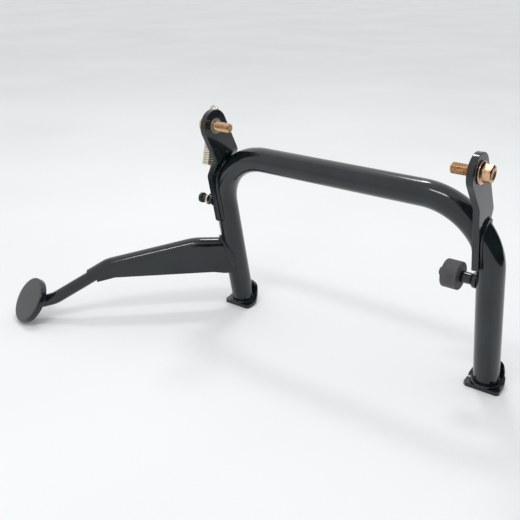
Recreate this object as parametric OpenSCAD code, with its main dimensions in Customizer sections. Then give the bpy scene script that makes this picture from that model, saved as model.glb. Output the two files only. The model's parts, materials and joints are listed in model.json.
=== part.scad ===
// Centre stand of a scooter: a bent tube frame with two pivot ears, a foot
// lever with a round pad, a rubber stop and a return spring.
// The stand is drawn as it stands on the ground, from the point where the leg
// plane meets the ground halfway between the legs. X runs along the pivot axis,
// Z is up, the pedal side faces -Y and the ground is Z = 0. Each part is then
// shifted, so that the origin lies on the left foot's sole.
// The frame leans toward the pedal side. Heights called "along the leg" run
// up the leaning leg from the ground.

/* [Main tube] */
// Outer diameter of the tube
tube_d = 25.4; // [22:0.1:28]
// Wall of the tube
tube_wall = 2; // [1.2:0.1:3.5]
// Spacing of the leg axes
leg_spacing = 307; // [280:1:340]
// Height of the crossbar axis, along the leg
crossbar_up = 202; // [196:0.5:212]
// Bend radius of the tube axis
bend_r = 65; // [58:0.5:70]
// Forward lean of the legs
lean = 12.7; // [10:0.1:15]

/* [Brackets] */
// Thickness of the bracket plates
plate_t = 6; // [4:0.1:7]
// Pivot axis forward of the leg axis
pivot_forward = 17; // [14:0.5:20]
// Pivot axis above the crossbar axis
pivot_rise = 39; // [36:0.5:46]
// Radius of the ear's round end
ear_r = 16.5; // [15:0.1:18]
// Tilt of the ear's rear edge against the leg
ear_tilt = 16; // [12:0.5:20]
// Length of the left ear's rear edge below the pivot
left_ear_drop = 50; // [46:0.5:54]
// Length of the right ear's rear edge below the pivot
right_ear_drop = 55; // [50:0.5:58]
// Tilt of the right ear's front edge
right_front_tilt = 27; // [22:0.5:32]
// Front edge of the bracket strips, forward of the leg axis
strip_forward = 17.5; // [16:0.1:19]
// Inboard face of the right plate, inboard of the leg axis
right_plate_in = 11.3; // [9:0.1:12]
// Lower end of the right strip, along the leg
right_strip_up = 144; // [138:1:150]
// Outboard face of the left ear, inboard of the leg axis
left_ear_in = 14.8; // [12:0.1:17]
// Outboard face of the left strip, outboard of the leg axis
left_strip_out = 4.3; // [3:0.1:6]
// Lower end of the left strip, along the leg
left_strip_up = 121; // [110:1:130]
// Start of the left plate's outward bend, below the pivot
joggle_drop = 34; // [32:0.5:38]
// Height over which the left plate crosses outward
joggle_h = 31; // [29:0.5:35]
// Bend radius in the middle of the left plate
joggle_r = 9; // [6:0.5:10]
// Size of the weld beads
bead = 2.5; // [1.5:0.1:3.5]

/* [Bushes and bolts] */
// Outer diameter of the bushes
bush_d = 16; // [14:0.1:18]
// How far a bush stands inboard of its ear
bush_proud = 1.2; // [0.5:0.1:3]
// Diameter of the bolts' plain shanks
bolt_d = 10; // [8:0.1:11]
// Step from the plain shank down to the thread
thread_step = 0.17; // [0.16:0.01:0.3]
// Reach of the plain shank past the bush
shank_past = 0.5; // [0.4:0.1:2]
// Length of a bolt below its flange
bolt_len = 25.5; // [22:0.5:32]
// Bolt hexagon across flats
hex_af = 14; // [12:0.1:16]
// Height of a bolt head above the ear
head_h = 10; // [8:0.1:12]
// Diameter of a bolt's flange
flange_d = 20; // [18:0.1:22]
// Thickness of the flange at its rim
flange_t = 1.4; // [1:0.1:2.4]
// Radial running clearance of a bolt in its bush
bolt_play = 0.06; // [0.03:0.01:0.09]

/* [Feet] */
// Thickness of the foot plates
foot_t = 4; // [3:0.1:5]
// Width of the foot plates
foot_w = 36; // [30:0.5:44]
// Reach of the foot plates forward of the leg axis, on the ground
foot_front = 15.5; // [14.5:0.5:22]
// Widest place of the foot plates, forward of the leg axis
foot_wide_at = 3; // [0:0.5:6]
// Outer bend radius of the heel
heel_r = 22; // [18:0.5:26]
// Height of the heel's round top above the ground
heel_h = 26; // [25:0.5:32]
// Width of the heel's round top
heel_w = 30; // [26:0.5:30]
// Chamfer of the sole's front corners
foot_corner = 2.5; // [1:0.5:6]
// Middle of the sole's flat, forward of the leg axis on the ground
sole_at = 13; // [12:0.5:13.5]

/* [Foot lever] */
// Diameter of the lever rod
rod_d = 14; // [12:0.1:15]
// Direction of the lever, turned outward from straight forward
lever_turn = 44.4; // [38:0.1:52]
// Height at which the rod meets the leg axis
root_up = 80; // [76:0.5:84]
// Rise of the rod next to the leg
root_slope = 2; // [0:0.5:4]
// Straight length of the rod next to the leg
root_run = 39; // [34:0.5:44]
// Bend of the rod at its highest point
top_bend = 13.5; // [11:0.5:15]
// Radius of that bend
top_bend_r = 60; // [40:1:80]
// Straight length of the rod under the ridge
ridge_run = 87.5; // [82:0.5:92]
// Bend of the rod near the gusset's end
mid_bend = 18; // [15:0.5:20]
// Radius of the bend near the gusset's end
mid_bend_r = 40; // [25:1:60]
// Straight length of the rod beyond the gusset's bend
drop_run = 63.5; // [60:0.5:66]
// Upward bend of the rod near the pad
toe_bend = 18; // [15:0.5:22]
// Radius of the upward bend
toe_bend_r = 30; // [20:1:45]
// Straight length of the rod next to the pad
toe_run = 38; // [34:0.5:44]
// Sheet thickness of the gusset over the rod
gusset_t = 2; // [1.5:0.1:2.5]
// Gap between the rod and the gusset
gusset_gap = 0.3; // [0.1:0.05:0.6]
// Reach of the gusset's flanks past the rod's bend
flank_past = 9; // [5:0.5:13]
// Reach of the gusset's ridge past its flanks, along the rod
ridge_past = 7; // [3:0.5:10]
// Lower edge of the flanks above the ground, at the leg
gusset_root_low = 48.5; // [46:0.5:52]
// Lower edge of the flanks above the ground, in the middle
gusset_low = 50.5; // [48:0.5:54]
// Lower edge of the flanks above the ground, at the outer end
gusset_tip_low = 46; // [42:0.5:48]
// Diameter of the foot pad
pad_d = 53; // [46:0.5:60]
// Thickness of the foot pad
pad_t = 7.2; // [5:0.1:9]
// Edge rounding of the foot pad
pad_edge = 1.5; // [0.5:0.1:2]
// Middle of the pad before the end of the rod's path
pad_inset = 14.6; // [12:0.1:16]
// Upward tilt of the pad's face
pad_tilt = 34.6; // [28:0.5:42]
// Direction the pad's face looks, turned outward from straight forward
pad_turn = 16; // [8:0.5:24]

/* [Spring] */
// Diameter of the spring pin
pin_d = 7; // [6:0.1:8]
// Length of the spring pin outboard of the strip
pin_len = 19; // [16:0.5:24]
// Diameter of the pin's head
pin_head_d = 11.5; // [10:0.1:13]
// Thickness of the pin's head
pin_head_t = 4; // [2.5:0.1:5]
// Thickness of the weld collar at the pin's root
collar_t = 1.6; // [1:0.1:2.4]
// Spring pin above the ground, along the leg
pin_up = 147.5; // [144:0.5:152]
// Spring pin forward of the leg axis
pin_forward = 14; // [13:0.1:15]
// Wire diameter of the spring
wire_d = 2.5; // [2:0.1:2.8]
// How far the wire wraps round the pin
eye_wrap = 300; // [240:5:320]
// Outer diameter of the coil
coil_d = 13; // [12:0.1:14]
// Number of turns
turns = 22; // [18:1:24]
// Gap between neighbouring turns
turn_gap = 0.1; // [0.05:0.01:0.3]
// Outer diameter of the hook at the coil's top
hook_d = 12; // [10:0.1:13]
// How far the hook is closed beyond a half circle
hook_close = 60; // [20:5:80]
// Rearward lean of the coil against the leg
coil_lean = 25; // [22:0.5:28]
// Rearward lean of the spring's long shank against the leg
shank_lean = 11.3; // [8:0.1:14]
// Length of the shank from the pin to the coil
shank_len = 37.7; // [35:0.1:41]

/* [Rubber stop] */
// Stop above the ground, along the leg
stop_up = 122; // [105:0.5:128]
// Diameter of the rubber
rubber_d = 27; // [22:0.5:32]
// Length of the rubber
rubber_len = 16; // [12:0.5:20]
// Rubber's inner face from the leg axis
rubber_off = 27.6; // [25:0.1:34]
// Edge rounding of the rubber
rubber_edge = 1.5; // [0.5:0.1:3]
// Diameter of the nub on the rubber
nub_d = 9; // [7:0.1:11]
// Height of the nub
nub_h = 5; // [3:0.1:6]
// Diameter of the stud
stud_d = 11; // [9:0.1:13]
// Diameter of the stud's flared root
flare_d = 15.5; // [14:0.5:18]

/* [Hidden] */
$fn = 48;
slack = 0.3;
far = 400;
half = leg_spacing / 2;
tube_r = tube_d / 2;
pivot_up = crossbar_up + pivot_rise;
bend_up = crossbar_up - bend_r;

// Places in the side view of the leaning frame: [behind the leg axis, up]
pivot = [-pivot_forward, pivot_up];

// X of the plates, measured outboard from the middle of the stand
right_plate_x = half - right_plate_in;
right_ear_face = right_plate_x + plate_t;
left_ear_face = half - left_ear_in;
left_strip_face = half + left_strip_out;

function bearing(angle) = [cos(angle), sin(angle)];
function along(angle, length) = length * [sin(angle), -cos(angle)];
function across(angle, length) = length * [cos(angle), sin(angle)];

// Stands a drawing made in leg coordinates on the ground
module leaning() {
  rotate([lean, 0, 0]) children();
}

// Extrudes a side view [behind, up] along X from one X to another
module side_plate(from, to) {
  translate([from, 0, 0])
    rotate([90, 0, 90])
      linear_extrude(to - from) children();
}

// Extrudes a front view [X, up] through the depth
module through_depth() {
  rotate([90, 0, 0])
    linear_extrude(far, center = true) children();
}

// A round bar along X
module x_bar(d, from, to) {
  translate([from, 0, 0])
    rotate([0, 90, 0])
      cylinder(d = d, h = to - from);
}

// The bent tube as a solid of any diameter, in leg coordinates
module bent_bar(d) {
  for (side = [0, 1])
    mirror([side, 0, 0]) {
      translate([half, 0, -tube_d])
        cylinder(d = d, h = bend_up + tube_d);
      translate([half - bend_r, 0, bend_up])
        rotate([90, 0, 0])
          rotate_extrude(angle = 90)
            translate([bend_r, 0])
              circle(d = d);
    }
  x_bar_up = half - bend_r;
  translate([0, 0, crossbar_up])
    x_bar(d, -x_bar_up, x_bar_up);
}

module tube_solid() {
  leaning() bent_bar(tube_d);
}

// Foot plates: a flat sole that bends up behind the leg and lies along it
heel_in = heel_r - foot_t;
heel_y = (tube_r - heel_in - heel_r * sin(lean)) / cos(lean);

function heel_point(r, angle) = [heel_y + r * sin(angle), heel_r - r * cos(angle)];

heel_turn = 90 + lean;
heel_steps = 12;

function heel_arc(r) = [for (k = [0 : heel_steps]) heel_point(r, k * heel_turn / heel_steps)];
function up_leg(length) = length * [-sin(lean), cos(lean)];

// Side view of the space above the sole and ahead of the heel
module heel_space() {
  polygon(concat(
    heel_arc(heel_in),
    [heel_point(heel_in, heel_turn) + up_leg(far), [-far, far], [-far, foot_t]]));
}

// Side view of the foot plate: the sole, the heel's bend and the flap
module foot_band() {
  inner = heel_arc(heel_in);
  polygon(concat(
    [[-foot_front, 0]], heel_arc(heel_r),
    [heel_point(heel_r, heel_turn) + up_leg(heel_h)],
    [heel_point(heel_in, heel_turn) + up_leg(heel_h)],
    [for (k = [heel_steps : -1 : 0]) inner[k]],
    [[-foot_front, foot_t]]));
}

// The sole is square in front and round behind, the heel has a round top
module foot() {
  plan_r = foot_w / 2 + slack;
  tip = [foot_w / 2, -foot_front];
  difference() {
    side_plate(-foot_w / 2, foot_w / 2) foot_band();
    linear_extrude(far, center = true)
      difference() {
        translate([-foot_w, -foot_wide_at])
          square([2 * foot_w, foot_w]);
        translate([0, -foot_wide_at])
          circle(r = plan_r);
      }
    translate([0, 0, heel_h - heel_w / 2])
      rotate([90, 0, 0])
        linear_extrude(far, center = true)
          difference() {
            translate([-foot_w, 0])
              square(2 * foot_w);
            circle(d = heel_w);
          }
    for (side = [0, 1])
      mirror([side, 0, 0])
        linear_extrude(far, center = true)
          polygon([
            tip - [2 * foot_corner, foot_corner],
            tip + [foot_corner, 2 * foot_corner],
            tip + [foot_corner, -2 * foot_corner],
            tip - [2 * foot_corner, 2 * foot_corner]
          ]);
  }
}

// A rim of weld round the tube's lower end
module foot_bead() {
  difference() {
    intersection() {
      leaning() cylinder(d = tube_d + 2 * bead, h = far, center = true);
      side_plate(-far, far) heel_space();
      translate([0, 0, foot_t])
        cylinder(d = far, h = bead);
    }
    leaning() cylinder(d = tube_d, h = far, center = true);
  }
}

// The right bracket's outline: round ear, tapering to a strip on the tube
module right_outline() {
  front = pivot - across(right_front_tilt, ear_r);
  front_run = (-strip_forward - front[0]) / sin(right_front_tilt);
  front_low = front + along(right_front_tilt, front_run);
  rear = pivot + across(ear_tilt, ear_r);
  rear_low = rear + along(ear_tilt, right_ear_drop);
  translate(pivot) circle(r = ear_r);
  polygon([
    pivot, front, front_low,
    [-strip_forward, right_strip_up], [0, right_strip_up],
    [0, bend_up + bend_r / 2], [tube_r / 2, rear_low[1] - tube_r],
    rear_low, rear
  ]);
}

// The left bracket's outline: a straight-edged ear and a longer strip
module left_outline() {
  front = pivot - across(ear_tilt, ear_r);
  front_run = (-strip_forward - front[0]) / sin(ear_tilt);
  front_low = front + along(ear_tilt, front_run);
  rear = pivot + across(ear_tilt, ear_r);
  rear_low = rear + along(ear_tilt, left_ear_drop);
  corner = strip_forward - tube_r;
  corner_centre = [corner - strip_forward, corner + left_strip_up];
  translate(pivot) circle(r = ear_r);
  polygon(concat(
    [pivot, front, front_low],
    [for (turn = [0 : 10 : 90]) corner_centre - corner * [cos(turn), sin(turn)]],
    [[0, left_strip_up], [0, bend_up + bend_r / 2]],
    [[tube_r / 2, rear_low[1] - tube_r], rear_low, rear]));
}

// The left plate seen from the front, outboard to +X: it bends outward once
// and back, so that the ear sits inboard and the strip outboard of the leg
joggle_shift = left_strip_face - left_ear_face;
joggle_turn = asin(2 * joggle_r / norm([joggle_h, 2 * joggle_r - joggle_shift]))
  - atan2(2 * joggle_r - joggle_shift, joggle_h);
joggle_steps = 8;

// One side of the plate's section, from the ear down to the strip: the side
// is -1 inboard and 1 outboard
function section_side(side, thick) =
  let (
    ear_x = left_ear_face - plate_t / 2,
    strip_x = left_strip_face - plate_t / 2,
    upper = [ear_x + joggle_r, pivot_up - joggle_drop],
    lower = [strip_x - joggle_r, pivot_up - joggle_drop - joggle_h],
    out = side * thick / 2
  )
  concat(
    [[ear_x + out, far]],
    [for (k = [0 : joggle_steps]) upper - (joggle_r - out) * bearing(joggle_turn * k / joggle_steps)],
    [for (k = [joggle_steps : -1 : 0]) lower + (joggle_r + out) * bearing(joggle_turn * k / joggle_steps)],
    [[strip_x + out, 0]]);

module left_section(thick) {
  inner = section_side(-1, thick);
  outer = section_side(1, thick);
  polygon(concat(inner, [for (k = [len(outer) - 1 : -1 : 0]) outer[k]]));
}

module pivot_hole(d) {
  leaning()
    translate([0, -pivot_forward, pivot_up])
      x_bar(d, -far, far);
}

module right_plate(grow) {
  leaning()
    side_plate(right_plate_x - grow, right_ear_face + grow)
      right_outline();
}

module left_plate(grow) {
  leaning()
    mirror([1, 0, 0])
      intersection() {
        side_plate(0, far) left_outline();
        through_depth() left_section(plate_t + 2 * grow);
      }
}

// The fillets of weld where a plate meets the tube
module plate_bead() {
  difference() {
    intersection() {
      children(0);
      leaning() bent_bar(tube_d + 2 * bead);
    }
    tube_solid();
    children(1);
  }
}

// Bolts stand with the head's underside at the origin and the shank along -Z
module bolt_shape() {
  tip = bolt_d / 10;
  thread_d = bolt_d - 2 * thread_step;
  plain_len = slack + plate_t + bush_proud + shank_past;
  neck_d = hex_af + flange_t;
  crown_d = 0.9 * hex_af;
  translate([0, 0, -plain_len])
    cylinder(d = bolt_d, h = plain_len);
  translate([0, 0, tip - bolt_len])
    cylinder(d = thread_d, h = bolt_len - tip);
  translate([0, 0, -bolt_len])
    cylinder(d1 = thread_d - 2 * tip, d2 = thread_d, h = tip);
  cylinder(d = flange_d, h = flange_t);
  translate([0, 0, flange_t])
    cylinder(d1 = flange_d, d2 = neck_d, h = flange_t);
  intersection() {
    cylinder(d = hex_af / cos(30), h = head_h, $fn = 6);
    translate([0, 0, head_h - hex_af])
      cylinder(d1 = crown_d + 2 * hex_af, d2 = crown_d, h = hex_af);
  }
}

module main_tube() {
  color("#2b2e31")
    difference() {
      intersection() {
        tube_solid();
        side_plate(-far, far) heel_space();
      }
      leaning() bent_bar(tube_d - 2 * tube_wall);
    }
}

module left_bracket() {
  color("#2b2e31")
    difference() {
      left_plate(0);
      tube_solid();
      pivot_hole(bush_d);
    }
}

module right_bracket() {
  color("#2b2e31")
    difference() {
      right_plate(0);
      tube_solid();
      pivot_hole(bush_d);
    }
}

module left_bracket_weld() {
  inner_face = left_strip_face - plate_t;
  color("#3a3d40")
    difference() {
      leaning()
        mirror([1, 0, 0])
          intersection() {
            side_plate(inner_face - 2 * bead, inner_face)
              translate([-far, left_strip_up])
                square([far, bend_up - left_strip_up]);
            bent_bar(tube_d + 2 * bead);
          }
      tube_solid();
    }
}

module right_bracket_weld() {
  color("#3a3d40")
    plate_bead() {
      right_plate(bead);
      right_plate(0);
    }
}

module bush(face) {
  color("#8c8a80")
    difference() {
      leaning()
        translate([0, -pivot_forward, pivot_up])
          x_bar(bush_d, face - plate_t - bush_proud, face);
      pivot_hole(bolt_d + 2 * bolt_play);
    }
}

module left_bush() {
  mirror([1, 0, 0]) bush(left_ear_face);
}

module right_bush() {
  bush(right_ear_face);
}

module pivot_bolt(face) {
  color("#c9a27a")
    leaning()
      translate([face + slack, -pivot_forward, pivot_up])
        rotate([0, 90, 0])
          bolt_shape();
}

module left_pivot_bolt() {
  mirror([1, 0, 0]) pivot_bolt(left_ear_face);
}

module right_pivot_bolt() {
  pivot_bolt(right_ear_face);
}

module left_foot() {
  color("#2b2e31")
    translate([-half, 0, 0]) foot();
}

module right_foot() {
  color("#2b2e31")
    translate([half, 0, 0]) foot();
}

module left_foot_weld() {
  color("#3a3d40")
    translate([-half, 0, 0]) foot_bead();
}

module right_foot_weld() {
  color("#3a3d40")
    translate([half, 0, 0]) foot_bead();
}

// The lever lies in an upright plane through the left leg: its drawings are
// [distance from the leg, height], with the third axis across the plane
lever_root = [-half, -root_up * tan(lean), 0];
rod_runs = [root_run, ridge_run, drop_run, toe_run];
rod_turns = [-top_bend, -mid_bend, toe_bend];
rod_bends = [top_bend_r, mid_bend_r, toe_bend_r];

bend_steps = 6;
bar_sides = 32;

function side_of(angle) = [-sin(angle), cos(angle)];
function heading(i) = i == 0 ? root_slope : heading(i - 1) + rod_turns[i - 1];
function bend_centre(i) = run_end(i) + sign(rod_turns[i]) * rod_bends[i] * side_of(heading(i));
function on_bend(i, part) = bend_centre(i)
  - sign(rod_turns[i]) * rod_bends[i] * side_of(heading(i) + part * rod_turns[i]);
function run_start(i) = i == 0 ? [0, root_up] : on_bend(i - 1, 1);
function run_end(i) = run_start(i) + rod_runs[i] * bearing(heading(i));

module in_lever_plane() {
  translate(lever_root)
    rotate([0, 0, -90 - lever_turn])
      rotate([90, 0, 0]) children();
}

// Skin between closed sections of equal length, each a list of points that
// runs out along one side and back along the other
module skin(sections) {
  size = len(sections[0]);
  rows = len(sections) - 1;
  function two_triangles(a, b, c, d) = [[a, b, c], [a, c, d]];
  function strip_end(k) = [k, k + 1, size - 2 - k, size - 1 - k];
  polyhedron(
    [for (section = sections) each section],
    [
      for (k = [0 : size / 2 - 2])
        let (near = strip_end(k), away = near + rows * size * [1, 1, 1, 1])
          each concat(
            two_triangles(near[0], near[1], near[2], near[3]),
            two_triangles(away[3], away[2], away[1], away[0])),
      for (i = [0 : rows - 1], k = [0 : size - 1])
        let (here = i * size + k, next = i * size + (k + 1) % size)
          each two_triangles(here, here + size, next + size, next)
    ]);
}

// Places along a bend with the direction there: [[along, up], angle]
function round_bend(i) = [for (step = [0 : bend_steps])
  [on_bend(i, step / bend_steps), heading(i) + step / bend_steps * rod_turns[i]]];

module lever_bar() {
  path = concat(
    [[run_start(0), heading(0)]],
    round_bend(0), round_bend(1), round_bend(2),
    [[run_end(3), heading(3)]]);
  in_lever_plane()
    skin([for (at = path)
      [for (k = [0 : bar_sides - 1])
        let (turn = 360 * k / bar_sides, out = rod_d / 2 * cos(turn) * side_of(at[1]))
          [at[0][0] + out[0], at[0][1] + out[1], rod_d / 2 * sin(turn)]]]);
}

// The pad stands on the ground where the rod ends
pad_up = (pad_d * cos(pad_tilt) + pad_t * sin(pad_tilt)) / 2;
pad_at = run_end(3)[0] - pad_inset;

module pad_place() {
  pad_centre = lever_root + pad_at * [-sin(lever_turn), -cos(lever_turn), 0];
  translate([pad_centre[0], pad_centre[1], pad_up])
    rotate([90 - pad_tilt, 0, -pad_turn]) children();
}

module behind_pad(gap) {
  pad_place()
    translate([0, 0, -far - pad_t / 2 - gap])
      cylinder(r = far, h = far);
}

module lever_rod() {
  color("#2b2e31")
    difference() {
      intersection() {
        lever_bar();
        behind_pad(0);
      }
      tube_solid();
    }
}

module lever_pad() {
  color("#2b2e31")
    pad_place()
      rotate_extrude() {
        translate([0, -pad_t / 2])
          square([pad_d / 2 - pad_edge, pad_t]);
        translate([0, pad_edge - pad_t / 2])
          square([pad_d / 2, pad_t - 2 * pad_edge]);
        for (side = [-1, 1])
          translate([pad_d / 2 - pad_edge, side * (pad_t / 2 - pad_edge)])
            circle(r = pad_edge);
      }
}

module toe_bar(d) {
  in_lever_plane()
    translate(run_start(3))
      rotate([0, 0, heading(3)])
        rotate([0, 90, 0])
          cylinder(d = d, h = toe_run);
}

module pad_weld() {
  color("#3a3d40")
    difference() {
      intersection() {
        toe_bar(rod_d + 2 * bead);
        behind_pad(0);
      }
      behind_pad(bead);
      toe_bar(rod_d);
    }
}

// The gusset is a sheet folded over the rod: a round ridge with two flanks
ridge_in = rod_d / 2 + gusset_gap;
flank_end = on_bend(1, 1)[0] + flank_past;
ridge_end = flank_end + ridge_past;

function on_drop(at) = run_start(2)
  + (at - run_start(2)[0]) / cos(heading(2)) * bearing(heading(2));

function gusset_low_at(at) = lookup(at, [
  [tube_r, gusset_root_low], [tube_d, gusset_low],
  [run_end(1)[0], gusset_low], [flank_end, gusset_tip_low]
]);

// One leg of the fold's section seen along the lever: from the lower edge of
// the near flank, over the ridge, to the lower edge of the far flank
function fold_line(at, reach) = concat(
  [[reach, gusset_low_at(at[0][0])]],
  [for (k = [0 : bar_sides / 2])
    let (turn = 360 * k / bar_sides)
      [reach * cos(turn), at[0][1] + reach * sin(turn) / cos(at[1])]],
  [[-reach, gusset_low_at(at[0][0])]]);

// The fold between two distances from the rod's axis
module fold(inside, outside) {
  path = concat(
    [[run_start(0), heading(0)]],
    [for (at = [tube_r, tube_d]) [run_start(0) + at / cos(root_slope) * bearing(root_slope), root_slope]],
    round_bend(0), round_bend(1),
    [[on_drop(flank_end), heading(2)], [on_drop(ridge_end + rod_d), heading(2)]]);
  in_lever_plane()
    intersection() {
      skin([for (at = path)
        let (outer = fold_line(at, outside), inner = fold_line(at, inside), last = len(inner) - 1)
          [for (p = concat(outer, [for (k = [last : -1 : 0]) inner[k]])) [at[0][0], p[1], -p[0]]]]);
      linear_extrude(far, center = true) gusset_ends();
    }
}

// Side view of the fold's length: the flanks end before the ridge
module gusset_ends() {
  ridge_cut = on_drop(ridge_end);
  polygon([
    [-far, -far], [flank_end, -far], on_drop(flank_end), ridge_cut,
    ridge_cut + far * side_of(heading(2)), [-far, far]
  ]);
}

module lever_gusset() {
  color("#2b2e31")
    difference() {
      fold(ridge_in, ridge_in + gusset_t);
      tube_solid();
    }
}

module gusset_weld() {
  color("#3a3d40")
    difference() {
      intersection() {
        fold(ridge_in + gusset_t, ridge_in + gusset_t + bead);
        leaning()
          translate([-half, 0, 0])
            cylinder(d = tube_d + 2 * bead, h = far);
      }
      tube_solid();
    }
}

// The pin and the spring are drawn outboard to +X and mirrored to the left
module left_at_pin() {
  mirror([1, 0, 0])
    leaning()
      translate([0, -pin_forward, pin_up]) children();
}

module spring_pin() {
  color("#2b2e31")
    difference() {
      left_at_pin() {
        head_x = left_strip_face + pin_len - pin_head_t;
        x_bar(pin_d, left_strip_face, head_x);
        x_bar(pin_head_d, head_x, left_strip_face + pin_len);
      }
      tube_solid();
    }
}

module pin_weld() {
  color("#3a3d40")
    difference() {
      left_at_pin()
        translate([left_strip_face, 0, 0])
          rotate([0, 90, 0])
            cylinder(d1 = pin_d + 2 * bead, d2 = pin_d + bead, h = collar_t);
      left_at_pin() x_bar(pin_d, 0, far);
      tube_solid();
    }
}

turn_pitch = wire_d + turn_gap;
coil_len = turns * turn_pitch;
coil_r = (coil_d - wire_d) / 2;
hook_r = (hook_d - wire_d) / 2;
eye_r = pin_d / 2 + slack + wire_d / 2;

// The spring hangs beside the tube, as close as the tube's side lets it
eye_rear = min(0, eye_r + wire_d / 2 - pin_forward);
spring_x = half + sqrt(tube_r ^ 2 - eye_rear ^ 2) + slack + wire_d / 2;
shank_d = wire_d - 0.04;
hook_rise = hook_r * sin(hook_close / 2);

// The coil, standing on its lowest turn
module coil() {
  rotate_extrude() {
    for (i = [0 : turns - 1])
      translate([coil_r, (i + 0.5) * turn_pitch])
        circle(d = wire_d);
    translate([coil_r - wire_d / 2, turn_pitch / 2])
      square([wire_d / 2, coil_len - turn_pitch]);
  }
}

module return_spring() {
  color("#cfc6a8")
    left_at_pin()
      translate([spring_x, 0, 0])
        rotate([-shank_lean, 0, 0]) {
          // Open eye round the pin
          rotate([0, 90, 0])
            rotate([0, 0, 90 - eye_wrap])
              rotate_extrude(angle = eye_wrap)
                translate([eye_r, 0])
                  circle(d = wire_d);
          // Shank from the eye's rear side up to the coil's rear side
          translate([0, eye_r, -wire_d / 4])
            cylinder(d = shank_d, h = shank_len + wire_d);
          translate([0, eye_r, shank_len])
            rotate([shank_lean - coil_lean, 0, 0])
              translate([0, -coil_r, 0]) {
                coil();
                // Open hook at the top
                translate([0, 0, coil_len + hook_rise])
                  rotate([90, 0, 0])
                    rotate([0, 0, -hook_close / 2])
                      rotate_extrude(angle = 180 + hook_close)
                        translate([hook_r, 0])
                          circle(d = wire_d);
              }
        }
}

module at_stop(x) {
  leaning()
    translate([x, 0, stop_up])
      rotate([0, 90, 0]) children();
}

module stop_stud() {
  flare_h = (flare_d - stud_d) / 2;
  flare_x = half - tube_r - flare_h;
  color("#2b2e31")
    difference() {
      union() {
        at_stop(half - rubber_off)
          cylinder(d = stud_d, h = rubber_off);
        at_stop(flare_x - flare_h)
          cylinder(d1 = stud_d, d2 = flare_d, h = flare_h);
        at_stop(flare_x)
          cylinder(d = flare_d, h = half - flare_x);
      }
      tube_solid();
    }
}

module stop_rubber() {
  edge_r = rubber_d / 2 - rubber_edge;
  color("#3b3d3f")
    at_stop(half - rubber_off - rubber_len)
      rotate_extrude() {
        square([edge_r, rubber_len]);
        translate([0, rubber_edge])
          square([rubber_d / 2, rubber_len - 2 * rubber_edge]);
        for (up = [rubber_edge, rubber_len - rubber_edge])
          translate([edge_r, up])
            circle(r = rubber_edge);
        translate([0, -nub_h])
          square([nub_d / 2 - nub_h / 2, nub_h]);
        translate([0, -nub_h / 2])
          square([nub_d / 2, nub_h / 2]);
        intersection() {
          translate([nub_d / 2 - nub_h / 2, -nub_h / 2])
            circle(r = nub_h / 2);
          translate([0, -nub_h])
            square([nub_d, nub_h]);
        }
      }
}

// The origin lies in the middle of the left sole's flat
module placed() {
  translate([half, sole_at, 0]) children();
}

placed() main_tube();
placed() left_bracket();
placed() right_bracket();
placed() left_bracket_weld();
placed() right_bracket_weld();
placed() left_bush();
placed() right_bush();
placed() left_pivot_bolt();
placed() right_pivot_bolt();
placed() left_foot();
placed() right_foot();
placed() left_foot_weld();
placed() right_foot_weld();
placed() lever_rod();
placed() lever_gusset();
placed() gusset_weld();
placed() lever_pad();
placed() pad_weld();
placed() spring_pin();
placed() pin_weld();
placed() return_spring();
placed() stop_stud();
placed() stop_rubber();
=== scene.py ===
# A scooter's centre stand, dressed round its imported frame.
# Sizes are in millimetres, and leg_point, lever_point, turned_ring or MM turns
# them into metres. "Behind" and "up" run square to and along the leaning legs.
import json
import math

import bmesh
import bpy
from mathutils import Matrix, Vector


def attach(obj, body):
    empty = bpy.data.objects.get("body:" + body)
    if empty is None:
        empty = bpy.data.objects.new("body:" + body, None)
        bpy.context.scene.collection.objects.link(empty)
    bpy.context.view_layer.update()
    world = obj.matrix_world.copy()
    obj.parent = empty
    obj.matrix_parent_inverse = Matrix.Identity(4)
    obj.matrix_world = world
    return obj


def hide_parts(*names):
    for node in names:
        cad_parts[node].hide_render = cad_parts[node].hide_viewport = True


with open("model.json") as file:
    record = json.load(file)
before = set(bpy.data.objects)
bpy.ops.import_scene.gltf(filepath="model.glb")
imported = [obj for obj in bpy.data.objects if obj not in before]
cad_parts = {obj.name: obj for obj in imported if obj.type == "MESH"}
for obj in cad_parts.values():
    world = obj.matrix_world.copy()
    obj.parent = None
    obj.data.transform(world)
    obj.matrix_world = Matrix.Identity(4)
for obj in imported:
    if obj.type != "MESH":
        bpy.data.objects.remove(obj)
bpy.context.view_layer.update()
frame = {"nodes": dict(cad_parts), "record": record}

MM = 0.001
OUTWARD = {"left": -1, "right": 1}

# Frame
LEAN = math.radians(12.7)
LEG_X = 153.5
TUBE_R = 12.7
BEND_R = 65
BEND_UP = 137
SOLE_AHEAD = 13

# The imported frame's origin lies on the left sole. The shapes are laid out from
# the point where the leg plane meets the ground halfway between the legs.
MIDDLE = Vector((LEG_X, SOLE_AHEAD, 0))

# Pivots and brackets
PIVOT_BEHIND = -17
PIVOT_UP = 241
EAR_FACE = {"left": 138.7, "right": 148.2}
PLATE_T = 6
STRIP_FACE = 157.8
JOGGLE_TOP = 207
JOGGLE_H = 31
BUSH_R = 8
BUSH_PROUD = 1.2
SLACK = 0.3
PLATE_EASE = 0.8
SHEET_EASE = 0.5

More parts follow.
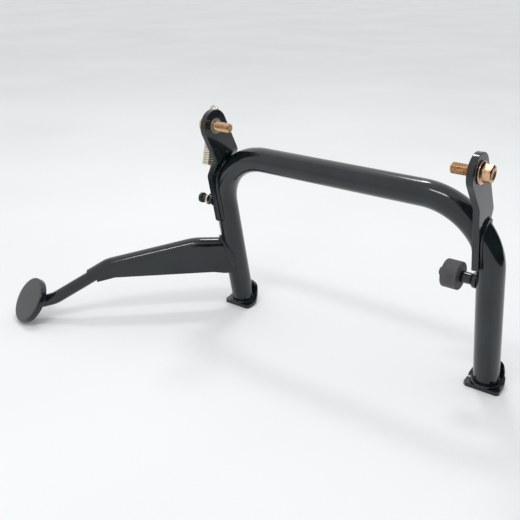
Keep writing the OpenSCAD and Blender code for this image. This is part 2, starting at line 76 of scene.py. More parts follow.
# Bolts
BOLT_R = 5
THREAD_R = 4.83
BOLT_LEN = 25.5
BOLT_PLAY = 0.06
THREAD_PITCH = 1.25
THREAD_DEPTH = 0.6
THREAD_FLAT = 0.1
THREAD_START = 0.25
THREAD_RELIEF = 0.5
TIP_CHAMFER = 1
TIP_STEP = 1.2
PLAIN_SHANK = 8
HEX_AF = 14
HEX_CORNER = 1.13
HEAD_H = 10
CROWN_R = 6.3
CROWN_SLOPE = 0.5
DISH_R = 4.9
DISH_FLOOR_R = 4.3
DISH_DEPTH = 0.5
DISH_CENTRE_DEPTH = 0.8
FLANGE_R = 10
FLANGE_T = 1.4
NECK_RISE = 0.2
HEX_SUNK = 0.3
THREAD_SHOULDER = 0.1
TURNED_EASE = 0.5

# Foot lever
LEVER_TURN = math.radians(44.4)
ROOT_UP = 80
ROD_R = 7
ROD_RUNS = (39, 87.5, 63.5, 38)
ROD_TURNS = (-13.5, -18, 18)
ROD_BENDS = (60, 40, 30)
ROOT_SLOPE = 2
PAD_R = 26.5
PAD_T = 7.2
PAD_TILT = math.radians(34.6)
PAD_TURN = math.radians(16)
PAD_INSET = 14.6
PAD_BITE = 0.3
PAD_RIM = 6
PAD_EASE = 1.6

# Spring and its pin
PIN_BEHIND = -14
PIN_UP = 147.5
PIN_R = 3.5
PIN_LEN = 19
PIN_HEAD_R = 5.75
PIN_HEAD_T = 4
PIN_SUNK = 2
PIN_HEAD_RAKE = 0.1
PIN_EASE = 0.9
WIRE_R = 1.25
EYE_WRAP = 300
COIL_R = 5.25
COIL_START = 0.9
TURNS_BEFORE_HOOK = 21.25
TURNS = 22
TURN_PITCH = 2.6
HOOK_R = 4.75
HOOK_CLOSE = 30
SHANK_LEAN = math.radians(11.3)
SHANK_LEN = 37.7
COIL_LEAN = math.radians(25)

# Rubber stop
STOP_UP = 122
RUBBER_R = 13.5
RUBBER_LEN = 16
RUBBER_OFF = 27.6
NUB_R = 4.5
NUB_H = 5
NUB_TAPER = 0.3
NUB_FILLET = 0.5
RUBBER_EASE = 1.5
RUBBER_BORE_GAP = 0.4
STUD_R = 5.5
STUD_SUNK = 1.5
STUD_IN_RUBBER = 0.2
STUD_EASE = 1.2
FLARE_R = 7.75

# Welds
WELD_R = 2.2
WELD_SWELL = 0.15
RIGHT_BRACKET_SWELL = -0.45
RIPPLE_PITCH = 1.9
RIPPLE_H = 0.22
VOXEL = 0.4
SMOOTHINGS = 3
SEAM_LOW = 123
SEAM_HIGH = 197
SEAM_IN = 0.6
SEAM_AHEAD = 0.3

# Steps of round shapes
TURNED_SIDES = 64
BOLT_SIDES = 96
PAD_SIDES = 96
PIN_SIDES = 48
ROD_SIDES = 48
BEAD_SIDES = 20
WIRE_SIDES = 14
THREAD_STEPS = 8
SEAM_STEPS = 150
TAPER_STEPS = 6
EYE_STEPS = 60
SHANK_STEPS = 10
COIL_STEPS = 28
HOOK_STEPS = 48
HOOK_LEAD_IN = 4
ROD_BEND_STEP = 1.2

# Edges flatter than these angles, in degrees, are shaded as smooth
SMOOTH_THREAD = 28
SMOOTH_TURNED = 32
SMOOTH_PLATE = 40
SMOOTH_WIRE = 60
SMOOTH_ALL = 180

# Stage, in metres from MIDDLE, with angles in degrees and the lens in millimetres
CAMERA_AT = (0.3504, -0.6226, 0.3917)
CAMERA_TILT = 67.16
CAMERA_TURN = 37.605
LENS = 50.08
FLOOR_HALF = 12
BOARD_X = 0.5
BOARD_Y = (-0.75, 1.1)
BOARD_Z = (0.02, 0.75)
AMBIENT = 0.82


def leg_point(x, behind, up):
    """A point given along X and in the leaning frame's side view."""
    return MM * (MIDDLE + Vector((
        x,
        behind * math.cos(LEAN) - up * math.sin(LEAN),
        behind * math.sin(LEAN) + up * math.cos(LEAN),
    )))


def lever_axes():
    """The lever's foot point on the ground, its direction and its side."""
    foot = MIDDLE + Vector((-LEG_X, -ROOT_UP * math.tan(LEAN), 0))
    ahead = Vector((-math.sin(LEVER_TURN), -math.cos(LEVER_TURN), 0))
    return foot, ahead, Vector((-ahead.y, ahead.x, 0))


def lever_point(along, up):
    """A point of the lever's own upright plane."""
    foot, ahead, _ = lever_axes()
    return MM * (foot + along * ahead + Vector((0, 0, up)))


def facing(point, direction):
    """A placement with its Z axis along a direction."""
    turn = Vector(direction).to_track_quat("Z", "Y").to_matrix().to_4x4()
    return Matrix.Translation(point) @ turn


def off_axis(out, up):
    """How far outside the axis of a leg and its bend a point lies."""
    if up > BEND_UP:
        return math.hypot(out - (LEG_X - BEND_R), up - BEND_UP) - BEND_R
    return out - LEG_X


# Materials, with patterns in waves a metre and reliefs in metres

PATCH_WAVES = 45
PATCH_DARK = 0.75
PATCH_LIGHT = 1.35
DUST_WAVES = 900
DUST_FROM = 0.735
DUST_FULL = 0.76
DUST_COLOUR = (0.055, 0.057, 0.058, 1)

# The mix node names its colour sockets like its other sockets
MIX_FIRST = 6
MIX_SECOND = 7
MIX_RESULT = 2


def node_tree(name):
    material = bpy.data.materials.new(name)
    material.use_nodes = True
    nodes = material.node_tree.nodes
    return material, nodes, material.node_tree.links, nodes["Principled BSDF"]


def noise(nodes, links, scale, detail=3.0, stretch=(1, 1, 1)):
    """A noise pattern fixed to the part, with its scale in waves a metre."""
    place = nodes.new("ShaderNodeTexCoord")
    mapping = nodes.new("ShaderNodeMapping")
    mapping.inputs["Scale"].default_value = stretch
    texture = nodes.new("ShaderNodeTexNoise")
    texture.inputs["Scale"].default_value = scale
    texture.inputs["Detail"].default_value = detail
    links.new(place.outputs["Object"], mapping.inputs["Vector"])
    links.new(mapping.outputs["Vector"], texture.inputs["Vector"])
    return texture.outputs["Fac"]


def ramp(nodes, links, value, stops):
    """Colours, or greys given as one number, set against a value's range."""
    band = nodes.new("ShaderNodeValToRGB")
    elements = band.color_ramp.elements
    while len(elements) < len(stops):
        elements.new(0.5)
    for element, (place, colour) in zip(elements, stops):
        shade = colour if isinstance(colour, tuple) else (colour,) * 3
        element.position = place
        element.color = (*shade, 1)
    links.new(value, band.inputs["Fac"])
    return band.outputs["Color"]


def vary_gloss(nodes, links, shader, pattern, low, high):
    """A roughness that wanders between two values."""
    sheen = ramp(nodes, links, pattern, [(0.3, low), (0.7, high)])
    links.new(sheen, shader.inputs["Roughness"])


def bump(nodes, links, shader, height, strength, distance):
    relief = nodes.new("ShaderNodeBump")
    relief.inputs["Strength"].default_value = strength
    relief.inputs["Distance"].default_value = distance
    links.new(height, relief.inputs["Height"])
    links.new(relief.outputs["Normal"], shader.inputs["Normal"])


def paint(name, colour, rough, wave, relief):
    """Gloss paint with faint orange peel, dulled patches and light dust."""
    material, nodes, links, shader = node_tree(name)
    dark = tuple(PATCH_DARK * c for c in colour)
    light = tuple(PATCH_LIGHT * c for c in colour)
    patches = noise(nodes, links, PATCH_WAVES, 4)
    tone = ramp(nodes, links, patches, [(0.35, dark), (0.65, light)])
    specks = noise(nodes, links, DUST_WAVES, 1)
    dust = ramp(nodes, links, specks, [(DUST_FROM, 0.0), (DUST_FULL, 1.0)])
    mix = nodes.new("ShaderNodeMix")
    mix.data_type = "RGBA"
    mix.inputs[MIX_SECOND].default_value = DUST_COLOUR
    links.new(dust, mix.inputs["Factor"])
    links.new(tone, mix.inputs[MIX_FIRST])
    links.new(mix.outputs[MIX_RESULT], shader.inputs["Base Color"])
    vary_gloss(nodes, links, shader, noise(nodes, links, 130, 3), rough, 1.7 * rough)
    shader.inputs["Specular IOR Level"].default_value = 0.42
    shader.inputs["Coat Weight"].default_value = 0.25
    shader.inputs["Coat Roughness"].default_value = 0.05
    bump(nodes, links, shader, noise(nodes, links, wave, 2), relief, 0.0004)
    return material


def zinc():
    """Yellow passivated zinc: a metal with a pink and green cast."""
    material, nodes, links, shader = node_tree("zinc")
    tone = ramp(nodes, links, noise(nodes, links, 160, 2), [
        (0.3, (0.62, 0.36, 0.25)), (0.48, (0.72, 0.5, 0.27)),
        (0.62, (0.58, 0.31, 0.25)), (0.75, (0.5, 0.45, 0.25))])
    links.new(tone, shader.inputs["Base Color"])
    shader.inputs["Metallic"].default_value = 1
    vary_gloss(nodes, links, shader, noise(nodes, links, 400, 3), 0.2, 0.38)
    bump(nodes, links, shader, noise(nodes, links, 1500, 2), 0.15, 0.0002)
    return material


def steel(name, dark, light, rough, stretch=(1, 1, 1)):
    """Bare or plated steel with a fine grain."""
    material, nodes, links, shader = node_tree(name)
    tone = ramp(nodes, links, noise(nodes, links, 220, 4), [(0.3, dark), (0.7, light)])
    links.new(tone, shader.inputs["Base Color"])
    shader.inputs["Metallic"].default_value = 1
    grain = noise(nodes, links, 700, 3, stretch)
    vary_gloss(nodes, links, shader, grain, rough, 1.6 * rough)
    bump(nodes, links, shader, grain, 0.2, 0.0002)
    return material


def rubber():
    """Matte moulded rubber with a slight bloom."""
    material, nodes, links, shader = node_tree("rubber")
    tone = ramp(nodes, links, noise(nodes, links, 80, 5), [
        (0.3, (0.055, 0.054, 0.058)), (0.7, (0.085, 0.083, 0.09))])
    links.new(tone, shader.inputs["Base Color"])
    vary_gloss(nodes, links, shader, noise(nodes, links, 300, 3), 0.55, 0.75)
    bump(nodes, links, shader, noise(nodes, links, 1800, 3), 0.25, 0.0003)
    return material


MATERIALS = {
    "frame_paint": paint("gloss_paint", (0.007, 0.0105, 0.0125), 0.11, 420, 0.04),
    "weld_paint": paint("weld_paint", (0.008, 0.0115, 0.0135), 0.08, 900, 0.3),
    "bush_steel": steel("bush_steel", (0.36, 0.34, 0.3), (0.5, 0.47, 0.41), 0.3, (6, 1, 1)),
    "bolt_zinc": zinc(),
    "spring_steel": steel("spring_steel", (0.55, 0.51, 0.41), (0.72, 0.68, 0.57), 0.22),
    "stop_rubber": rubber(),
}
SLOTS = {part["node"]: part["material_slot"] for part in frame["record"]["subparts"]}


# Meshes

SHARP = math.radians(35)
FLAT = math.radians(0.3)
MERGE = 0.002
NEAR = 0.2
CORNER_SPLIT = 2.01


def add_piece(name, node, bm, smooth=SMOOTH_TURNED, body="frame"):
    """A piece that stands for a CAD node, with that node's finish."""
    bmesh.ops.recalc_face_normals(bm, faces=bm.faces)
    mesh = bpy.data.meshes.new(name)
    bm.to_mesh(mesh)
    bm.free()
    mesh.shade_smooth()
    mesh.set_sharp_from_angle(angle=math.radians(smooth))
    mesh.materials.append(MATERIALS[SLOTS[node]])
    piece = bpy.data.objects.new(name, mesh)
    bpy.context.scene.collection.objects.link(piece)
    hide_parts(node)
    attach(piece, body)
    return piece


def join_rings(bm, near, away):
    """A band of faces between two rings of equal length."""
    count = len(near)
    for k in range(count):
        after = (k + 1) % count
        bm.faces.new((near[k], near[after], away[after], away[k]))


def stack_rings(bm, rings):
    """Joins closed rings of equal length, and closes both ends."""
    rows = [[bm.verts.new(point) for point in ring] for ring in rings]
    for near, away in zip(rows, rows[1:]):
        join_rings(bm, near, away)
    bm.faces.new(rows[0])
    bm.faces.new(rows[-1])


def rounded(profile, radius, steps=4):
    """A profile with its inner corners eased by curves of about a radius."""
    points = [Vector(p) for p in profile]
    eased = [points[0]]
    for before, corner, after in zip(points, points[1:], points[2:]):
        room = min((corner - before).length, (after - corner).length)
        reach = min(radius, room / CORNER_SPLIT)
        start = corner + reach * (before - corner).normalized()
        end = corner + reach * (after - corner).normalized()
        for step in range(steps + 1):
            t = step / steps
            eased.append((1 - t) ** 2 * start + 2 * t * (1 - t) * corner + t ** 2 * end)
    return eased + [points[-1]]


def turned_ring(place, radius, height, sides=TURNED_SIDES):
    """A circle of points round a placement's Z axis."""
    turns = [2 * math.pi * k / sides for k in range(sides)]
    return [
        place @ (MM * Vector((radius * math.cos(a), radius * math.sin(a), height)))
        for a in turns]


def lathe(name, node, profile, place, sides=TURNED_SIDES):
    """Turns a profile of [radius, height] into a solid piece."""
    bm = bmesh.new()
    stack_rings(bm, [turned_ring(place, radius, height, sides) for radius, height in profile])
    add_piece(name, node, bm)


def sweep_rings(path, radius_at, sides):
    """Rings square to a path, turned as little as they can be."""
    turns = [2 * math.pi * k / sides for k in range(sides)]
    rings = []
    aside = None
    for i, point in enumerate(path):
        tangent = (path[min(i + 1, len(path) - 1)] - path[max(i - 1, 0)]).normalized()
        if aside is None:
            aside = tangent.orthogonal()
        aside = (aside - aside.dot(tangent) * tangent).normalized()
        other = tangent.cross(aside)
        radius = radius_at(i)
        rings.append([
            point + radius * (math.cos(a) * aside + math.sin(a) * other) for a in turns])
    return rings


def copy_of(node):
    """A node's own mesh, joined up and without the lines across its flats."""
    bm = bmesh.new()
    bm.from_mesh(frame["nodes"][node].data)
    bmesh.ops.remove_doubles(bm, verts=bm.verts, dist=MERGE * MM)
    bmesh.ops.dissolve_limit(bm, angle_limit=FLAT, verts=bm.verts, edges=bm.edges)
    return bm


def near_tube(edge):
    """Whether an edge lies on the frame tube or in a pivot hole."""
    for vert in edge.verts:
        x, y, z = vert.co / MM - MIDDLE
        behind = y * math.cos(LEAN) + z * math.sin(LEAN)
        up = z * math.cos(LEAN) - y * math.sin(LEAN)
        from_tube = abs(math.hypot(off_axis(abs(x), up), behind) - TUBE_R)
        from_pivot = math.hypot(behind - PIVOT_BEHIND, up - PIVOT_UP)
        if from_tube < NEAR or from_pivot < BUSH_R + NEAR:
            return True
    return False


def dressed(node, width):
    """A plate or folded sheet with its free edges rounded and its flats flat."""
    bm = copy_of(node)
    edges = [
        edge for edge in bm.edges
        if edge.is_manifold and edge.calc_face_angle(0) > SHARP and not near_tube(edge)]
    bmesh.ops.bevel(
        bm, geom=edges, offset=width * MM, offset_type="OFFSET", segments=3,
        profile=0.5, affect="EDGES", clamp_overlap=True)
    piece = add_piece(node + "_plate", node, bm, SMOOTH_PLATE)
    modifier = piece.modifiers.new("even_normals", "WEIGHTED_NORMAL")
    modifier.keep_sharp = True


# Welds

def ripple(length):
    """How far a weld's surface swells or sinks at a length along it."""
    return RIPPLE_H * (abs(math.sin(math.pi * length / RIPPLE_PITCH)) - 0.5)


def lumpy_copy(node):
    """A weld node's mesh, made anew of even cells and smoothed."""
    rough = frame["nodes"][node].copy()
    rough.data = frame["nodes"][node].data.copy()
    rough.parent = None
    bpy.context.scene.collection.objects.link(rough)
    rough.hide_render = rough.hide_viewport = False
    remesh = rough.modifiers.new("voxels", "REMESH")
    remesh.mode = "VOXEL"
    remesh.voxel_size = VOXEL * MM
    shape = rough.evaluated_get(bpy.context.evaluated_depsgraph_get())
    bm = bmesh.new()
    bm.from_mesh(shape.to_mesh())
    bpy.data.objects.remove(rough)
    for _ in range(SMOOTHINGS):
        bmesh.ops.smooth_vert(
            bm, verts=bm.verts, factor=0.5, use_axis_x=True, use_axis_y=True, use_axis_z=True)
    bm.normal_update()
    return bm


def rippled(node, measure, swell=WELD_SWELL):
    """A weld node as a lumpy bead, rippled by its own length measure."""
    bm = lumpy_copy(node)
    for vert in bm.verts:
        vert.co += vert.normal * MM * (swell + ripple(measure(vert.co)))
    add_piece(node + "_bead", node, bm, SMOOTH_ALL)


def round_axis(centre, axis, radius):
    """Length in millimetres round an axis."""
    place = facing(centre, axis).inverted()

    def measure(point):
        spot = place @ point
        return radius * math.atan2(spot.y, spot.x)

    return measure


def plate_inner_x(up):
    """How far out the left plate's inner face lies at a height."""
    ear_x = EAR_FACE["left"] - PLATE_T
    strip_x = STRIP_FACE - PLATE_T
    part = min(1, max(0, (JOGGLE_TOP - up) / JOGGLE_H))
    return ear_x + (strip_x - ear_x) * part * part * (3 - 2 * part)


def left_seam():
    """The line where the left plate's inner face meets the front of the tube."""
    line = []
    for k in range(SEAM_STEPS + 1):
        up = SEAM_LOW + (SEAM_HIGH - SEAM_LOW) * k / SEAM_STEPS
        out = plate_inner_x(up)
        depth = math.sqrt(max(0, TUBE_R ** 2 - off_axis(out, up) ** 2))
        line.append(leg_point(-out + SEAM_IN, -depth - SEAM_AHEAD, up))
    return line


def left_bead():
    """The left bracket's bead, thin at both ends."""
    line = left_seam()
    step = (line[1] - line[0]).length / MM

    def radius_at(i):
        taper = min(1, (i + 1) / TAPER_STEPS, (len(line) - i) / TAPER_STEPS)
        return MM * taper * (WELD_R + ripple(i * step))

    bm = bmesh.new()
    stack_rings(bm, sweep_rings(line, radius_at, BEAD_SIDES))
    add_piece("left_bracket_bead", "left_bracket_weld", bm, SMOOTH_ALL)


def welds():
    up_leg = Vector((0, -math.sin(LEAN), math.cos(LEAN)))
    middle, _, aside = lever_axes()
    rod_end = rod_path()[-2:]
    pin_root = leg_point(-STRIP_FACE, PIN_BEHIND, PIN_UP)

    def up_bracket(point):
        return point.dot(up_leg) / MM

    def over_ridge(point):
        return (point.z - abs((point - MM * middle).dot(aside))) / MM

    left_bead()
    rippled("right_bracket_weld", up_bracket, RIGHT_BRACKET_SWELL)
    for side, way in OUTWARD.items():
        rippled(side + "_foot_weld", round_axis(leg_point(way * LEG_X, 0, 0), up_leg, TUBE_R))
    rippled("gusset_weld", over_ridge)
    rippled("pad_weld", round_axis(rod_end[1], rod_end[1] - rod_end[0], ROD_R))
    rippled("pin_weld", round_axis(pin_root, (-1, 0, 0), PIN_R + 1))


# Turned parts

def on_pivot(side, proud=0):
    """Where a pivot's axis leaves its ear, with Z facing outward."""
    way = OUTWARD[side]
    spot = leg_point(way * (EAR_FACE[side] + proud), PIVOT_BEHIND, PIVOT_UP)
    return facing(spot, (way, 0, 0))


def bush(side):
    bore = BOLT_R + BOLT_PLAY
    length = PLATE_T + BUSH_PROUD
    profile = rounded([
        (bore, -length / 2), (bore, -length), (BUSH_R, -length), (BUSH_R, 0),
        (bore, 0), (bore, -length / 2)], TURNED_EASE)
    place = on_pivot(side)
    bm = bmesh.new()
    rows = [
        [bm.verts.new(point) for point in turned_ring(place, radius, height)]
        for radius, height in profile[:-1]]
    for near, away in zip(rows, rows[1:] + rows[:1]):
        join_rings(bm, near, away)
    add_piece(side + "_turned_bush", side + "_bush", bm)


def thread_ring(angles, height, fade):
    """The thread's radius at each angle, at one height."""
    tip = THREAD_R - TIP_CHAMFER + (height + BOLT_LEN)
    ring = []
    for angle in angles:
        phase = (height / THREAD_PITCH - angle / (2 * math.pi)) % 1
        flank = (abs(2 * phase - 1) - THREAD_FLAT) / (1 - 2 * THREAD_FLAT)
        cut = THREAD_DEPTH * min(1, max(0, flank))
        ring.append((min(THREAD_R - cut * fade, tip), height))
    return ring


def thread_rings(angles):
    """The wound thread, which fades out over its last turn."""
    length = BOLT_LEN - PLAIN_SHANK - THREAD_RELIEF
    count = int(length / THREAD_PITCH * THREAD_STEPS)
    rings = [[(THREAD_R - TIP_STEP, -BOLT_LEN)] * len(angles)]
    for i in range(count + 1):
        height = THREAD_START - BOLT_LEN + i * THREAD_PITCH / THREAD_STEPS
        rings.append(thread_ring(angles, height, min(1, (count - i) / THREAD_STEPS)))
    return rings


def shank_rings(angles):
    """The plain shank and the flange."""
    neck = HEX_AF / 2 + FLANGE_T / 2
    profile = rounded([
        (THREAD_R, -PLAIN_SHANK - THREAD_SHOULDER), (BOLT_R, -PLAIN_SHANK), (BOLT_R, 0),
        (FLANGE_R, 0), (FLANGE_R, FLANGE_T), (neck, 2 * FLANGE_T),
        (neck, 2 * FLANGE_T + NECK_RISE)], TURNED_EASE)
    return [[(radius, height)] * len(angles) for radius, height in profile[:-1]]


def head_rings(angles):
    """The hexagon, its sloped crown and the dish on top."""
    hexagon = []
    for angle in angles:
        bent = (angle + math.pi / 6) % (math.pi / 3) - math.pi / 6
        hexagon.append(min(HEX_AF / 2 / math.cos(bent), HEX_CORNER * HEX_AF / 2))
    rings = [
        [(r, 2 * FLANGE_T - HEX_SUNK) for r in hexagon],
        [(r, HEAD_H - CROWN_SLOPE * max(0, r - CROWN_R)) for r in hexagon]]
    dish = (
        (CROWN_R, HEAD_H), (DISH_R, HEAD_H), (DISH_FLOOR_R, HEAD_H - DISH_DEPTH),
        (1, HEAD_H - DISH_CENTRE_DEPTH))
    return rings + [[spot] * len(angles) for spot in dish]


def bolt(side):
    place = on_pivot(side, SLACK)
    angles = [2 * math.pi * k / BOLT_SIDES for k in range(BOLT_SIDES)]
    bm = bmesh.new()
    stack_rings(bm, [
        [place @ (MM * Vector((radius * math.cos(a), radius * math.sin(a), height)))
         for a, (radius, height) in zip(angles, ring)]
        for ring in thread_rings(angles) + shank_rings(angles) + head_rings(angles)])
    add_piece(side + "_threaded_bolt", side + "_pivot_bolt", bm, SMOOTH_THREAD, side + "_bolt")


def pad_place():
    """The pad's middle, with Z square to its face and away from the rod."""
    along = rod_line()[-1].x - PAD_INSET
    up = (2 * PAD_R * math.cos(PAD_TILT) + PAD_T * math.sin(PAD_TILT)) / 2
    tilt = Matrix.Rotation(math.pi / 2 - PAD_TILT, 4, "X")
    turn = Matrix.Rotation(-PAD_TURN, 4, "Z")
    return Matrix.Translation(lever_point(along, up)) @ turn @ tilt


def pad():
    core = 0.5
    half = PAD_T / 2
    profile = rounded([
        (core, -half), (PAD_R, -half), (PAD_R, half), (PAD_R - PAD_RIM, half),
        (core, half)], PAD_EASE, 6)
    lathe("round_pad", "lever_pad", profile, pad_place(), PAD_SIDES)


def stop():
    core = 0.4
    nub_top = RUBBER_LEN + NUB_H
    flare = FLARE_R - STUD_R
    face = RUBBER_OFF - TUBE_R
    place = facing(leg_point(LEG_X - RUBBER_OFF, 0, STOP_UP), (-1, 0, 0))
    rubber_profile = rounded([
        (STUD_R + RUBBER_BORE_GAP, 0), (RUBBER_R, 0), (RUBBER_R, RUBBER_LEN),
        (NUB_R + NUB_FILLET, RUBBER_LEN), (NUB_R, RUBBER_LEN + NUB_FILLET),
        (NUB_R - NUB_TAPER, nub_top), (core, nub_top)], RUBBER_EASE, 6)
    stud_profile = rounded([
        (core, STUD_IN_RUBBER), (STUD_R, STUD_IN_RUBBER), (STUD_R, 2 * flare - face),
        (FLARE_R, flare - face), (FLARE_R, -face - STUD_SUNK),
        (core, -face - STUD_SUNK)], STUD_EASE, 5)
    lathe("moulded_stop", "stop_rubber", rubber_profile, place)
    lathe("turned_stud", "stop_stud", stud_profile, place)


def pin():
    core = 0.3
    neck = PIN_LEN - PIN_HEAD_T
    place = facing(leg_point(-STRIP_FACE, PIN_BEHIND, PIN_UP), (-1, 0, 0))
    profile = rounded([
        (core, -PIN_SUNK), (PIN_R, -PIN_SUNK), (PIN_R, neck),
        (PIN_HEAD_R, neck + PIN_HEAD_RAKE), (PIN_HEAD_R, PIN_LEN), (core, PIN_LEN)],
        PIN_EASE, 5)
    lathe("turned_pin", "spring_pin", profile, place, PIN_SIDES)


# Rod and spring

def heading(i):
    """The slope of the rod's straight run i."""
    return math.radians(ROOT_SLOPE + sum(ROD_TURNS[:i]))


def rod_line():
    """The rod's axis as points of [along, up], from its first run's end."""
    at = Vector((0, ROOT_UP))
    line = []
    for i, run in enumerate(ROD_RUNS):
        way = Vector((math.cos(heading(i)), math.sin(heading(i))))
        at = at + run * way
        line.append(at)
        if i < len(ROD_TURNS):
            turn = math.radians(ROD_TURNS[i])
            bend = math.copysign(ROD_BENDS[i], turn)
            centre = at + bend * Vector((-way.y, way.x))
            spoke = at - centre
            count = round(abs(ROD_TURNS[i]) / ROD_BEND_STEP)
            line += [
                centre + Matrix.Rotation(turn * k / count, 2) @ spoke
                for k in range(1, count + 1)]
            at = line[-1]
    return line


def rod_path():
    """The rod's axis in metres, from inside the tube's wall to its far end."""
    root = TUBE_R - 1
    start = Vector((root, ROOT_UP + root * math.tan(heading(0))))
    return [lever_point(point.x, point.y) for point in [start] + rod_line()]


def rod():
    """The bent rod, cut off inside the pad."""
    bm = bmesh.new()
    stack_rings(bm, sweep_rings(rod_path(), lambda i: ROD_R * MM, ROD_SIDES))
    place = pad_place()
    cut = bmesh.ops.bisect_plane(
        bm, geom=bm.verts[:] + bm.edges[:] + bm.faces[:],
        plane_co=place @ (MM * Vector((0, 0, PAD_BITE - PAD_T / 2))),
        plane_no=place.to_3x3() @ Vector((0, 0, 1)), clear_outer=True)
    rim = [part for part in cut["geom_cut"] if isinstance(part, bmesh.types.BMEdge)]
    bmesh.ops.contextual_create(bm, geom=rim)
    add_piece("bent_rod", "lever_rod", bm)


def eye_and_shank(eye_r):
    """The wire round the pin and up to the coil, in the spring's own plane."""
    line = []
    for k in range(EYE_STEPS + 1):
        angle = math.radians(90 - EYE_WRAP + EYE_WRAP * k / EYE_STEPS)
        line.append(Vector((0, eye_r * math.sin(angle), -eye_r * math.cos(angle))))
    for k in range(1, SHANK_STEPS):
        line.append(Vector((0, eye_r, SHANK_LEN * k / SHANK_STEPS)))
    return line


def coil_and_hook():
    """The wire's turns and the open hook above them, round the coil's axis."""
    line = []
    for k in range(int(TURNS_BEFORE_HOOK * COIL_STEPS) + 1):
        turn = k / COIL_STEPS
        angle = 2 * math.pi * turn
        line.append(Vector((
            COIL_R * math.sin(angle), COIL_R * math.cos(angle), COIL_START + TURN_PITCH * turn)))
    middle = TURNS * TURN_PITCH + HOOK_R * math.sin(math.radians(HOOK_CLOSE))
    for k in range(HOOK_LEAD_IN, HOOK_STEPS + 1):
        angle = math.radians(-HOOK_CLOSE + (180 + 2 * HOOK_CLOSE) * k / HOOK_STEPS)
        line.append(Vector((
            HOOK_R * math.cos(angle), 0, middle + HOOK_R * math.sin(angle))))
    return line


def spring():
    eye_r = PIN_R + SLACK + WIRE_R
    eye_rear = min(0, eye_r + WIRE_R + PIN_BEHIND)
    out = LEG_X + math.sqrt(TUBE_R ** 2 - eye_rear ** 2) + SLACK + WIRE_R
    place = (Matrix.Translation((out, PIN_BEHIND, PIN_UP))
             @ Matrix.Rotation(-SHANK_LEAN, 4, "X"))
    onto = (Matrix.Translation((0, eye_r, SHANK_LEN))
            @ Matrix.Rotation(SHANK_LEAN - COIL_LEAN, 4, "X")
            @ Matrix.Translation((0, -COIL_R, 0)))
    line = []
    for point in eye_and_shank(eye_r) + [onto @ point for point in coil_and_hook()]:
        spot = place @ point
        line.append(leg_point(-spot.x, spot.y, spot.z))
    bm = bmesh.new()
    stack_rings(bm, sweep_rings(line, lambda i: WIRE_R * MM, WIRE_SIDES))
    add_piece("wound_spring", "return_spring", bm, SMOOTH_WIRE, "spring")


def tube():
    """The tube's CAD shape is right: it only gets its paint."""
    node = frame["nodes"]["main_tube"]
    node.data.materials.clear()
    node.data.materials.append(MATERIALS[SLOTS["main_tube"]])


# Stage

def camera():
    eye = bpy.data.objects.new("camera", bpy.data.cameras.new("camera"))
    eye.data.sensor_width = 36
    eye.data.lens = LENS
    eye.location = MM * MIDDLE + Vector(CAMERA_AT)
    eye.rotation_euler = (math.radians(CAMERA_TILT), 0, math.radians(CAMERA_TURN))
    bpy.context.scene.collection.objects.link(eye)
    bpy.context.scene.camera = eye


def lamp(name, at, target, size, power):
    """A flat lamp that faces a target."""
    light = bpy.data.lights.new(name, "AREA")
    light.shape = "RECTANGLE"
    light.size, light.size_y = size
    light.energy = power
    holder = bpy.data.objects.new(name, light)
    holder.matrix_world = facing(MM * MIDDLE + Vector(at), Vector(at) - Vector(target))
    bpy.context.scene.collection.objects.link(holder)


def add_backdrop(name, bm, material):
    """A piece of the stage, which is no part of the object."""
    mesh = bpy.data.meshes.new(name)
    bm.to_mesh(mesh)
    bm.free()
    mesh.materials.append(material)
    backdrop = bpy.data.objects.new(name, mesh)
    bpy.context.scene.collection.objects.link(backdrop)
    return backdrop


def floor():
    material, nodes, links, shader = node_tree("pale_paper")
    tone = ramp(nodes, links, noise(nodes, links, 2.5, 2), [
        (0.3, (0.83, 0.84, 0.84)), (0.7, (0.88, 0.885, 0.88))])
    links.new(tone, shader.inputs["Base Color"])
    shader.inputs["Roughness"].default_value = 0.75
    shader.inputs["Specular IOR Level"].default_value = 0.2
    bm = bmesh.new()
    bmesh.ops.create_grid(bm, x_segments=2, y_segments=2, size=FLOOR_HALF)
    add_backdrop("floor", bm, material)


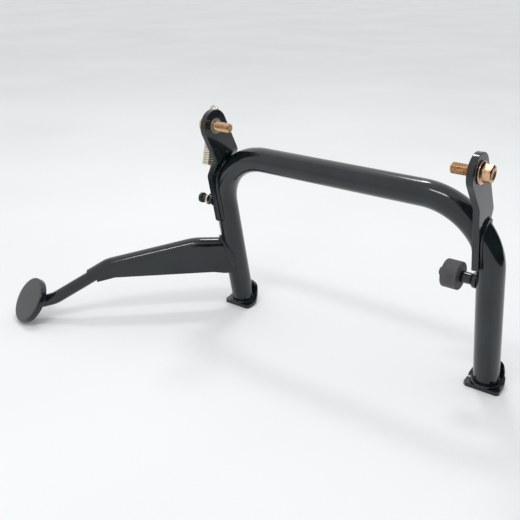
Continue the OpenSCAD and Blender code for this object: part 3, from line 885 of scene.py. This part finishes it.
def dark_board():
    """A black board to the right that only reflections see."""
    material, _, _, shader = node_tree("black_board")
    shader.inputs["Base Color"].default_value = (0.004, 0.004, 0.004, 1)
    shader.inputs["Roughness"].default_value = 1
    shader.inputs["Specular IOR Level"].default_value = 0
    near, far = BOARD_Y
    low, high = BOARD_Z
    bm = bmesh.new()
    bm.faces.new([
        bm.verts.new(MM * MIDDLE + Vector((BOARD_X, y, z)))
        for y, z in ((near, low), (far, low), (far, high), (near, high))])
    board = add_backdrop("black_board", bm, material)
    board.visible_camera = False
    board.visible_diffuse = False
    board.visible_shadow = False


def surround():
    """White to the camera and in reflections, a softer light on the rest."""
    world = bpy.data.worlds.new("surround")
    bpy.context.scene.world = world
    world.use_nodes = True
    nodes, links = world.node_tree.nodes, world.node_tree.links
    soft = nodes["Background"]
    soft.inputs["Color"].default_value = (0.97, 0.985, 1, 1)
    soft.inputs["Strength"].default_value = AMBIENT
    seen = nodes.new("ShaderNodeBackground")
    seen.inputs["Color"].default_value = (0.9, 0.91, 0.91, 1)
    path = nodes.new("ShaderNodeLightPath")
    chosen = path.outputs["Is Camera Ray"]
    for ray in ("Is Glossy Ray", "Is Transmission Ray"):
        either = nodes.new("ShaderNodeMath")
        either.operation = "MAXIMUM"
        links.new(chosen, either.inputs[0])
        links.new(path.outputs[ray], either.inputs[1])
        chosen = either.outputs[0]
    mix = nodes.new("ShaderNodeMixShader")
    links.new(chosen, mix.inputs[0])
    links.new(soft.outputs[0], mix.inputs[1])
    links.new(seen.outputs[0], mix.inputs[2])
    links.new(mix.outputs[0], nodes["World Output"].inputs["Surface"])


def stage():
    camera()
    floor()
    dark_board()
    surround()
    lamp("window", at=(-0.32, 0.37, 1.25), target=(0.11, -0.04, 0.2),
         size=(0.22, 0.16), power=2.6)
    lamp("front_window", at=(0.1, -0.75, 1.3), target=(-0.1, -0.05, 0.1),
         size=(0.5, 0.1), power=3.6)
    lamp("sky", at=(-1.0, 0.5, 1.5), target=(0, 0, 0), size=(1.4, 1.4), power=1.8)
    bpy.context.scene.view_settings.view_transform = "Standard"


tube()
for plate in ("left_bracket", "right_bracket", "left_foot", "right_foot"):
    dressed(plate, PLATE_EASE)
dressed("lever_gusset", SHEET_EASE)
welds()
for side in OUTWARD:
    bush(side)
for side in OUTWARD:
    bolt(side)
pad()
stop()
pin()
rod()
spring()
stage()
